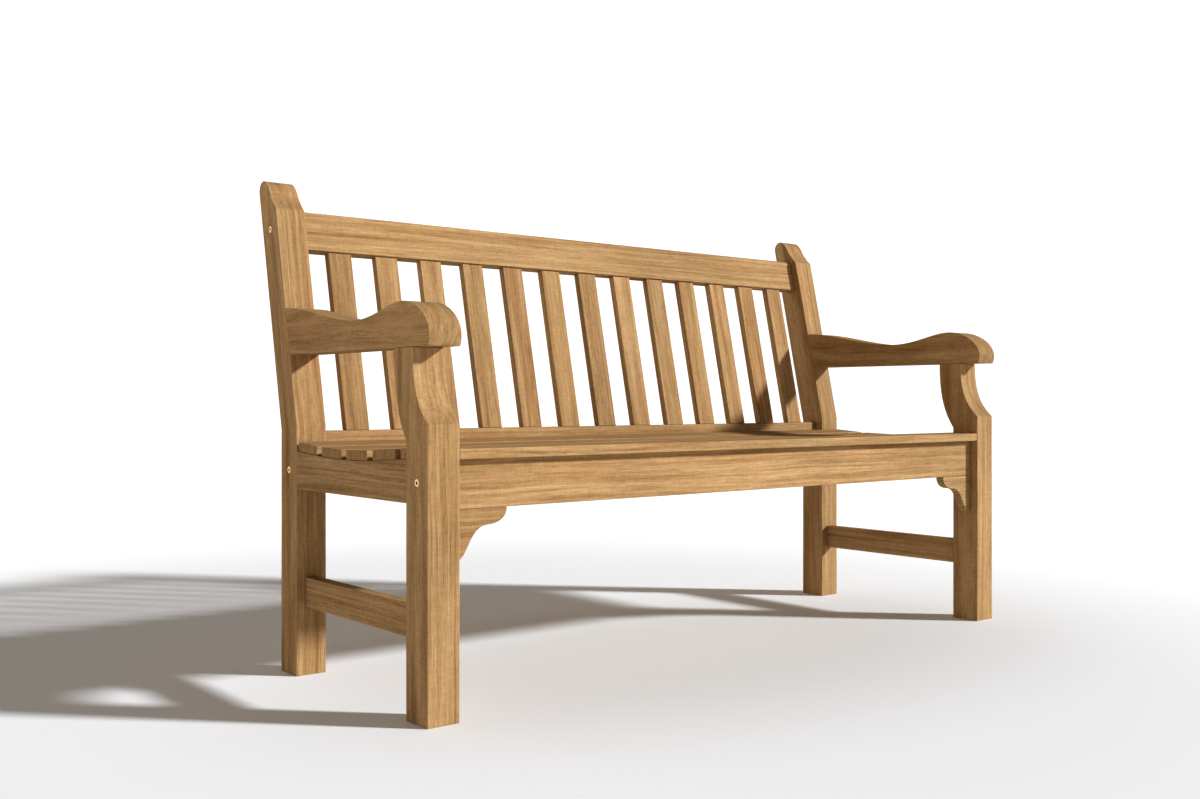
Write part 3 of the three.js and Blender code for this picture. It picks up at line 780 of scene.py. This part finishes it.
def turn_bolt(node, side, back, height):
    """Spins a bolt about its own axis and sinks the socket in its head."""
    shape = bmesh.new()
    line = [
        shape.verts.new(spot(from_outside(side, inward), back, height + radius))
        for inward, radius in half_section
    ]
    edges = [shape.edges.new(pair) for pair in zip(line, line[1:])]
    bmesh.ops.spin(
        shape,
        geom=line + edges,
        cent=spot(0, back, height),
        axis=ALONG_BENCH,
        angle=math.tau,
        steps=SPIN_STEPS,
        use_merge=True,
        use_duplicate=False,
    )
    bmesh.ops.remove_doubles(shape, verts=shape.verts, dist=1e-6)
    bmesh.ops.recalc_face_normals(shape, faces=shape.faces)
    mesh = bpy.data.meshes.new("brass_" + node)
    shape.to_mesh(mesh)
    shape.free()
    bolt = bpy.data.objects.new("brass_" + node, mesh)
    bpy.context.scene.collection.objects.link(bolt)
    outside = spot(from_outside(side, -1), back, height)
    floor_of_socket = spot(from_outside(side, HEAD[0] + SOCKET_DEPTH), back, height)
    bore(bolt, [(outside, floor_of_socket, SOCKET_RADIUS, SOCKET_SIDES)])
    # The faces of the socket are marked, so that a painted shade can darken the brass there.
    middles = (read_numbers(bolt.data.polygons, "center") - np.array(outside)) / MM
    sunk = np.abs(middles[:, 0]) - 1
    near_axis = np.hypot(middles[:, 1], middles[:, 2]) < SOCKET_RADIUS
    in_socket = near_axis & (sunk > HEAD[0] + 0.1) & (sunk < HEAD[1])
    write_attribute(bolt.data, "socket_shade", "FLOAT", "FACE", in_socket.astype(np.float32))
    set_out(bolt, brass, node)
    return bolt


for name, side in SIDES.items():
    turn_bolt("front_bolt_" + name, side, LEG_MIDDLE, BOLT_HEIGHT)
    turn_bolt("rear_bolt_" + name, side, REAR_MIDDLE, BOLT_HEIGHT)
    turned = turn_bolt("top_bolt_" + name, side, *lean(LEG_MIDDLE, TOP_RAIL_MIDDLE))
print("a bolt has", len(turned.data.polygons), "faces")

# %% [markdown]
# ## Materials: colours and nodes
# Colours are given as they would be picked on a screen, and one function turns them to the
# linear values that light is worked out with. One more adds a node with its settings and
# links.

# %% Colours and nodes


def paint(code):
    """A colour picked on a screen as linear values."""
    parts = [int(code[i : i + 2], 16) / 255 for i in (1, 3, 5)]
    linear = [c / 12.92 if c <= 0.04045 else ((c + 0.055) / 1.055) ** 2.4 for c in parts]
    return (*linear, 1)


def add(tree, kind, inputs=None, **settings):
    """Adds a node. An input is either a value or the output that it is linked to."""
    made = tree.nodes.new(kind)
    for name, value in settings.items():
        setattr(made, name, value)
    for socket, value in (inputs or {}).items():
        if isinstance(value, bpy.types.NodeSocket):
            tree.links.new(value, made.inputs[socket])
        else:
            made.inputs[socket].default_value = value
    return made


def start(material):
    """Empties a material's tree and gives it a shader and an output."""
    material.use_nodes = True
    tree = material.node_tree
    tree.nodes.clear()
    shader = add(tree, "ShaderNodeBsdfPrincipled")
    add(tree, "ShaderNodeOutputMaterial", {"Surface": shader.outputs["BSDF"]})
    return tree, shader


print("a mid brown is", [round(c, 3) for c in paint("#A07E57")])

# %% [markdown]
# ## Teak
# Teak is planed and left matt, golden brown with a straight figure. The eye picks out bands
# that lean to olive or to red, paler and darker streaks that follow the rings, a few dark
# lines, short pores, and a faint ripple across the grain. Each of these is one noise,
# stretched along the board. An image of wood would repeat and could not turn over an edge,
# while noise in the log carries on from a face to its side and its end, as real grain does.
# Rings are distance from the heart of the log, bent by slow noise. Fibres are about 0.2 mm
# wide and pores 0.3 mm, so both are drawn several times as coarse, so that they show from
# across a room.

# %% Teak: the log
RING_BEND = 26 * MM
ROUND_SHARE = 0.24  # pace of the figure round a ring, against its pace across the rings
SLOW_PER_METRE = (10, 10, 1.6)
tree, shader = start(teak)
grain = add(tree, "ShaderNodeAttribute", attribute_name="grain").outputs["Vector"]
flat = {0: grain, 1: (1, 1, 0)}
section = add(tree, "ShaderNodeVectorMath", flat, operation="MULTIPLY").outputs[0]
distance = add(tree, "ShaderNodeVectorMath", {0: section}, operation="LENGTH").outputs["Value"]
slow = {0: grain, 1: SLOW_PER_METRE}
slow_place = add(tree, "ShaderNodeVectorMath", slow, operation="MULTIPLY").outputs[0]
wobble_inputs = {"Vector": slow_place, "Scale": 1.0, "Detail": 3.0, "Roughness": 0.45}
wobble = add(tree, "ShaderNodeTexNoise", wobble_inputs).outputs["Fac"]
bending = {0: wobble, 1: RING_BEND, 2: distance}
ring_distance = add(tree, "ShaderNodeMath", bending, operation="MULTIPLY_ADD").outputs[0]
along = add(tree, "ShaderNodeSeparateXYZ", {"Vector": grain}).outputs["Z"]
turning = {0: grain, 1: (ROUND_SHARE, ROUND_SHARE, 0)}
round_ring = add(tree, "ShaderNodeVectorMath", turning, operation="DOT_PRODUCT")
ring_place = {"X": ring_distance, "Y": round_ring.outputs["Value"], "Z": along}
rings = add(tree, "ShaderNodeCombineXYZ", ring_place).outputs[0]
print("log made of", len(tree.nodes), "nodes")

# %% Teak: figure
# Each pattern: where it is read, its size in mm across and along the grain, its detail and
# roughness, then the part of the noise that is kept and what that is carried to.
PATTERNS = {
    "bands": (rings, 21, 1100, 1, 0.4, 0.32, 0.68, 0.0, 1.0),
    "streaks": (rings, 8, 420, 5, 0.74, 0.27, 0.73, 0.0, 1.0),
    "lines": (rings, 4, 240, 2, 0.55, 0.6, 0.74, 0.0, 0.4),
    "patches": (grain, 80, 260, 2, 0.5, 0.3, 0.7, 0.91, 1.09),
    "fibres": (grain, 2.0, 30, 2, 0.6, 0.3, 0.7, 0.87, 1.13),
    "ripple": (grain, 14, 4, 1, 0.5, 0.3, 0.7, 0.94, 1.06),
    "pores": (grain, 1.3, 18, 0, 0.5, 0.64, 0.78, 0.0, 0.26),
}
figure = {}
for name, pattern in PATTERNS.items():
    place, across, length, detail, rough, low, high, to_low, to_high = pattern
    size = {0: place, 1: (1 / (across * MM), 1 / (across * MM), 1 / (length * MM))}
    scaled = add(tree, "ShaderNodeVectorMath", size, operation="MULTIPLY").outputs[0]
    cloud = {"Vector": scaled, "Scale": 1.0, "Detail": detail, "Roughness": rough}
    value = add(tree, "ShaderNodeTexNoise", cloud).outputs["Fac"]
    span = {"Value": value, "From Min": low, "From Max": high}
    span |= {"To Min": to_low, "To Max": to_high}
    figure[name] = add(tree, "ShaderNodeMapRange", span).outputs["Result"]
print("figure made of", len(tree.nodes), "nodes")

# %% Teak: colour
EARLY_WOOD = paint("#BEA075")
LATE_WOOD = paint("#7A562E")
OLIVE = paint("#997C50")
RED = paint("#A1734A")
DARK_LINE = paint("#5B3B1F")
PORE_BROWN = paint("#52351C")
WORN = paint("#B8966C")
TONES = (0.94, 1.06)  # the darkest and the palest board
END_GRAIN_TONE = 0.84
WEAR = 0.2
HUE_SHARE = 0.22  # of the olive or red of the bands
marks = {
    name: add(tree, "ShaderNodeAttribute", attribute_name=name).outputs["Fac"]
    for name in ("tone", "end_grain", "arris")
}
tone_span = {"Value": marks["tone"], "From Min": -1.0, "To Min": TONES[0], "To Max": TONES[1]}
end_span = {"Value": marks["end_grain"], "To Min": 1.0, "To Max": END_GRAIN_TONE}
worn_span = {"Value": marks["arris"], "To Max": WEAR}
board_tone, end_tone, worn = [
    add(tree, "ShaderNodeMapRange", span).outputs["Result"]
    for span in (tone_span, end_span, worn_span)
]
light = figure["patches"]
for factor in (figure["fibres"], figure["ripple"], board_tone, end_tone):
    light = add(tree, "ShaderNodeMath", {0: light, 1: factor}, operation="MULTIPLY").outputs[0]
streaky = {0: figure["streaks"], 6: EARLY_WOOD, 7: LATE_WOOD}
banded = {0: figure["bands"], 6: OLIVE, 7: RED}
wood, hue = [
    add(tree, "ShaderNodeMix", colours, data_type="RGBA").outputs[2]
    for colours in (streaky, banded)
]
LAYERS = ((HUE_SHARE, hue), (figure["lines"], DARK_LINE), (figure["pores"], PORE_BROWN))
for share, colour in LAYERS:
    layer = {0: share, 6: wood, 7: colour}
    wood = add(tree, "ShaderNodeMix", layer, data_type="RGBA").outputs[2]
lit = {0: wood, "Scale": light}
wood = add(tree, "ShaderNodeVectorMath", lit, operation="SCALE").outputs["Vector"]
edged = add(tree, "ShaderNodeMix", {0: worn, 6: wood, 7: WORN}, data_type="RGBA").outputs[2]
tree.links.new(edged, shader.inputs["Base Color"])
print("teak has", len(tree.nodes), "nodes")

# %% Teak: surface
TEAK_ROUGHNESS = (0.72, 0.84)
FIBRE_RISE = 1.5  # against the rise of the streaks
PORE_DEPTH = 2.0
RELIEF_DEPTH = 0.25 * MM
RELIEF_SHARE = 0.35
rough_span = {
    "Value": figure["streaks"],
    "To Min": TEAK_ROUGHNESS[0],
    "To Max": TEAK_ROUGHNESS[1],
}
teak_rough = add(tree, "ShaderNodeMapRange", rough_span).outputs["Result"]
tree.links.new(teak_rough, shader.inputs["Roughness"])
shader.inputs["Specular IOR Level"].default_value = 0.1
raised = {0: figure["fibres"], 1: FIBRE_RISE, 2: figure["streaks"]}
height = add(tree, "ShaderNodeMath", raised, operation="MULTIPLY_ADD").outputs[0]
sunk = {0: figure["pores"], 1: -PORE_DEPTH, 2: height}
height = add(tree, "ShaderNodeMath", sunk, operation="MULTIPLY_ADD").outputs[0]
relief = {"Height": height, "Strength": RELIEF_SHARE, "Distance": RELIEF_DEPTH}
tree.links.new(add(tree, "ShaderNodeBump", relief).outputs["Normal"], shader.inputs["Normal"])
print("teak is rough from", TEAK_ROUGHNESS[0], "to", TEAK_ROUGHNESS[1])

# %% [markdown]
# ## Brass, steel and beech
# Brass heads are turned and left bare, so they have a dull bloom, while their sockets are
# painted dark brown as a painted shade in the recess, and so each reads as a pale ring round a
# dark middle. The bloom could be one roughness, but patches a few millimetres wide keep the
# heads from looking new. Nuts and screws are zinc-plated steel with a faint spangle, and the
# brackets' dowels are beech. Both are hidden inside the boards, and show only through their
# holes.

# %% Brass
BLOOM_SIZE = 2.5 * MM
PALE_BRASS = paint("#F7DFB0")
DULL_BRASS = paint("#E6C489")
# The colour of the painted shade inside the sockets.
PAINTED_SOCKET_SHADE = paint("#6B4A2A")
BRASS_ROUGHNESS = (0.42, 0.6)
tree, shader = start(brass)
shader.inputs["Metallic"].default_value = 1
own = add(tree, "ShaderNodeTexCoord")
bloom = add(
    tree,
    "ShaderNodeTexNoise",
    {"Vector": own.outputs["Object"], "Scale": 1 / BLOOM_SIZE, "Detail": 3.0},
)
brass_colour = add(
    tree,
    "ShaderNodeMix",
    {0: bloom.outputs["Fac"], 6: PALE_BRASS, 7: DULL_BRASS},
    data_type="RGBA",
)
brass_rough = add(
    tree,
    "ShaderNodeMapRange",
    {
        "Value": bloom.outputs["Fac"],
        "From Min": 0.3,
        "From Max": 0.7,
        "To Min": BRASS_ROUGHNESS[0],
        "To Max": BRASS_ROUGHNESS[1],
    },
)
# Painted shade: the socket's faces are painted dark brown, standing in for the shade inside the
# recess.
socket_shade = add(tree, "ShaderNodeAttribute", attribute_name="socket_shade").outputs["Fac"]
shaded_socket = {0: socket_shade, 6: brass_colour.outputs[2], 7: PAINTED_SOCKET_SHADE}
brass_and_socket_shade = add(tree, "ShaderNodeMix", shaded_socket, data_type="RGBA").outputs[2]
tree.links.new(brass_and_socket_shade, shader.inputs["Base Color"])
tree.links.new(brass_rough.outputs["Result"], shader.inputs["Roughness"])
print("brass has", len(tree.nodes), "nodes")

# %% Steel
SPANGLE_SIZE = 3 * MM
PALE_ZINC = paint("#B9BBB8")
DULL_ZINC = paint("#8F9290")
ZINC_ROUGHNESS = (0.3, 0.5)
tree, shader = start(steel)
shader.inputs["Metallic"].default_value = 1
own = add(tree, "ShaderNodeTexCoord")
spangle = add(
    tree,
    "ShaderNodeTexNoise",
    {"Vector": own.outputs["Object"], "Scale": 1 / SPANGLE_SIZE, "Detail": 2.0},
)
zinc = add(
    tree,
    "ShaderNodeMix",
    {0: spangle.outputs["Fac"], 6: PALE_ZINC, 7: DULL_ZINC},
    data_type="RGBA",
)
zinc_rough = add(
    tree,
    "ShaderNodeMapRange",
    {
        "Value": spangle.outputs["Fac"],
        "From Min": 0.3,
        "From Max": 0.7,
        "To Min": ZINC_ROUGHNESS[0],
        "To Max": ZINC_ROUGHNESS[1],
    },
)
tree.links.new(zinc.outputs[2], shader.inputs["Base Color"])
tree.links.new(zinc_rough.outputs["Result"], shader.inputs["Roughness"])
print("steel has", len(tree.nodes), "nodes")

# %% Beech
FLECKS_PER_METRE = (1 / MM, 1 / MM, 60)  # a fleck is 1 mm wide and 17 mm long
PALE_BEECH = paint("#D9BC93")
FLECK_BROWN = paint("#BE9A6C")
BEECH_ROUGHNESS = (0.55, 0.75)
tree, shader = start(beech)
own = add(tree, "ShaderNodeTexCoord")
long_fibres = add(
    tree,
    "ShaderNodeVectorMath",
    {0: own.outputs["Object"], 1: FLECKS_PER_METRE},
    operation="MULTIPLY",
)
flecks = add(
    tree,
    "ShaderNodeTexNoise",
    {"Vector": long_fibres.outputs["Vector"], "Scale": 1.0, "Detail": 2.0},
)
beech_colour = add(
    tree,
    "ShaderNodeMix",
    {0: flecks.outputs["Fac"], 6: PALE_BEECH, 7: FLECK_BROWN},
    data_type="RGBA",
)
beech_rough = add(
    tree,
    "ShaderNodeMapRange",
    {
        "Value": flecks.outputs["Fac"],
        "To Min": BEECH_ROUGHNESS[0],
        "To Max": BEECH_ROUGHNESS[1],
    },
)
tree.links.new(beech_colour.outputs[2], shader.inputs["Base Color"])
tree.links.new(beech_rough.outputs["Result"], shader.inputs["Roughness"])
print("beech has", len(tree.nodes), "nodes")

# %% Finishes for the hidden fixings
for name, node in frame["nodes"].items():
    if node.hide_render:
        continue
    material = beech if "dowel" in name else steel
    node.data.materials.clear()
    node.data.materials.append(material)
    print(name, "is", material.name)

# %% [markdown]
# ## Floor and light
# The floor is a plain pale sheet, with a painted shade that makes it a little greyer below
# the bench, and fades to white well away from it, so it has no visible end. One soft key light
# comes low from the front right. A white surround fills the shadows, strongest near the
# horizon and from behind the left end, as white walls would. It could be even, but then both
# ends of the bench would have the same shade. What the camera sees behind the bench is plain
# white, and a view with more contrast gives the shaded wood its depth.

# %% Floor
FLOOR_RADIUS = 40
FADE = (1.05, 3.1)  # metres from the centre of the fade to where it starts and ends
FADE_CENTRE = (-0.4, 0.15, 0)
# The paper is painted greyer under the bench and just in front of it: a painted shade in an
# oval, with these sizes.
PAINTED_SHADE_SPAN = (0.2, 0.74)  # the grey goes out between these distances, front to back
PAINTED_SHADE_FORWARD = 0.15  # its middle lies this far in front of the bench's own
PAINTED_SHADE_SHAPE = 0.6  # its depth against its length
PAINTED_SHADE_PAPER = paint("#E6E6E4")
PALE_PAPER = paint("#FBFDFE")
sheet = bmesh.new()
bmesh.ops.create_circle(sheet, cap_ends=True, segments=96, radius=FLOOR_RADIUS)
floor_mesh = bpy.data.meshes.new("floor")
sheet.to_mesh(floor_mesh)
sheet.free()
floor = bpy.data.objects.new("floor", floor_mesh)
bpy.context.scene.collection.objects.link(floor)
paper = bpy.data.materials.new("paper_matt_pale")
tree, shader = start(paper)
shader.inputs["Roughness"].default_value = 0.9
shader.inputs["Specular IOR Level"].default_value = 0.1
own = add(tree, "ShaderNodeTexCoord")
centred = {
    "Vector": own.outputs["Object"],
    "Location": (0, PAINTED_SHADE_FORWARD, 0),
    "Scale": (PAINTED_SHADE_SHAPE, 1, 1),
}
shade_oval = add(tree, "ShaderNodeMapping", centred, vector_type="POINT")
from_shade_middle = add(tree, "ShaderNodeVectorMath", {0: shade_oval.outputs["Vector"]}, operation="LENGTH")
clear = add(
    tree,
    "ShaderNodeMapRange",
    {"Value": from_shade_middle.outputs["Value"], "From Min": PAINTED_SHADE_SPAN[0], "From Max": PAINTED_SHADE_SPAN[1]},
    interpolation_type="SMOOTHSTEP",
)
# Painted shade: the grey paper under the bench clears to the pale paper away from it.
painted_shade_mix = {0: clear.outputs["Result"], 6: PAINTED_SHADE_PAPER, 7: PALE_PAPER}
shaded_sheet_colour = add(tree, "ShaderNodeMix", painted_shade_mix, data_type="RGBA")
tree.links.new(shaded_sheet_colour.outputs[2], shader.inputs["Base Color"])
off_centre = {0: own.outputs["Object"], 1: FADE_CENTRE}
away = add(tree, "ShaderNodeVectorMath", off_centre, operation="DISTANCE")
fade = add(
    tree,
    "ShaderNodeMapRange",
    {"Value": away.outputs["Value"], "From Min": FADE[0], "From Max": FADE[1]},
    interpolation_type="SMOOTHSTEP",
)
white = add(tree, "ShaderNodeEmission", {"Color": (1, 1, 1, 1), "Strength": 1.0})
faded = add(
    tree,
    "ShaderNodeMixShader",
    {0: fade.outputs["Result"], 1: shader.outputs["BSDF"], 2: white.outputs["Emission"]},
)
output = next(node for node in tree.nodes if node.type == "OUTPUT_MATERIAL")
tree.links.new(faded.outputs["Shader"], output.inputs["Surface"])
floor_mesh.materials.append(paper)
print("the floor fades to white from", FADE[0], "to", FADE[1], "m")

# %% Light
KEY_HEADING = Vector((-0.69, 0.724))
KEY_ELEVATION = math.radians(24)
KEY_STRENGTH = 4.35
KEY_SOFTNESS = math.radians(4.5)
FILL_LOW = 0.82  # towards the horizon, where the white walls stand
FILL_HIGH = 0.16
FILL_FALL = (0.05, 0.7)  # it falls between these heights of the direction, 1 being straight up
FILL_HEADING = (-0.6, 0.8, 0)  # a white wall stands here, behind the left end
FILL_TOWARDS = 1.62
FILL_AWAY = 0.5
FILL_TURN = (-0.2, 1.0)  # and grows as the direction turns towards that wall
key_data = bpy.data.lights.new("key", "SUN")
key_data.energy = KEY_STRENGTH
key_data.color = paint("#F8FAFF")[:3]
key_data.angle = KEY_SOFTNESS
key = bpy.data.objects.new("key", key_data)
level = KEY_HEADING.normalized() * math.cos(KEY_ELEVATION)
downward = Vector((*level, -math.sin(KEY_ELEVATION)))
key.rotation_euler = downward.to_track_quat("-Z", "Y").to_euler()
bpy.context.scene.collection.objects.link(key)

world = bpy.data.worlds.new("surround")
bpy.context.scene.world = world
world.use_nodes = True
tree = world.node_tree
tree.nodes.clear()
seen = add(tree, "ShaderNodeLightPath")
around = add(tree, "ShaderNodeTexCoord").outputs["Generated"]
upward = add(tree, "ShaderNodeSeparateXYZ", {"Vector": around}).outputs["Z"]
facing = {0: around, 1: FILL_HEADING}
towards = add(tree, "ShaderNodeVectorMath", facing, operation="DOT_PRODUCT").outputs["Value"]
falling = (upward, *FILL_FALL, FILL_LOW, FILL_HIGH)
rising = (towards, *FILL_TURN, FILL_AWAY, FILL_TOWARDS)
RANGE_SOCKETS = ("Value", "From Min", "From Max", "To Min", "To Max")
by_height, by_side = [
    add(tree, "ShaderNodeMapRange", dict(zip(RANGE_SOCKETS, span))).outputs["Result"]
    for span in (falling, rising)
]
shares = {0: by_height, 1: by_side}
strength = add(tree, "ShaderNodeMath", shares, operation="MULTIPLY").outputs[0]
fill = add(tree, "ShaderNodeBackground", {"Color": paint("#FFF5EA"), "Strength": strength})
backdrop = add(tree, "ShaderNodeBackground", {"Color": (1, 1, 1, 1), "Strength": 1.0})
both = add(
    tree,
    "ShaderNodeMixShader",
    {
        0: seen.outputs["Is Camera Ray"],
        1: fill.outputs["Background"],
        2: backdrop.outputs["Background"],
    },
)
add(tree, "ShaderNodeOutputWorld", {"Surface": both.outputs["Shader"]})
bpy.context.scene.view_settings.view_transform = "Standard"
bpy.context.scene.view_settings.look = "Medium High Contrast"
print("key light from", [round(-x, 2) for x in level])

# %% Measured and finished
for obj in list(bpy.context.scene.objects):
    if "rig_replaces" in obj:
        dropped = obj["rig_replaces"][0]
        low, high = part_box(dropped)
        corners = [Vector(corner) for corner in obj.bound_box]
        own_low = Vector([min(c[i] for c in corners) for i in range(3)])
        own_high = Vector([max(c[i] for c in corners) for i in range(3)])
        inside = [round((own_low[i] - low[i]) / MM, 1) for i in range(3)]
        inside += [round((high[i] - own_high[i]) / MM, 1) for i in range(3)]
        print(obj.name, "lies inside its node by", inside)
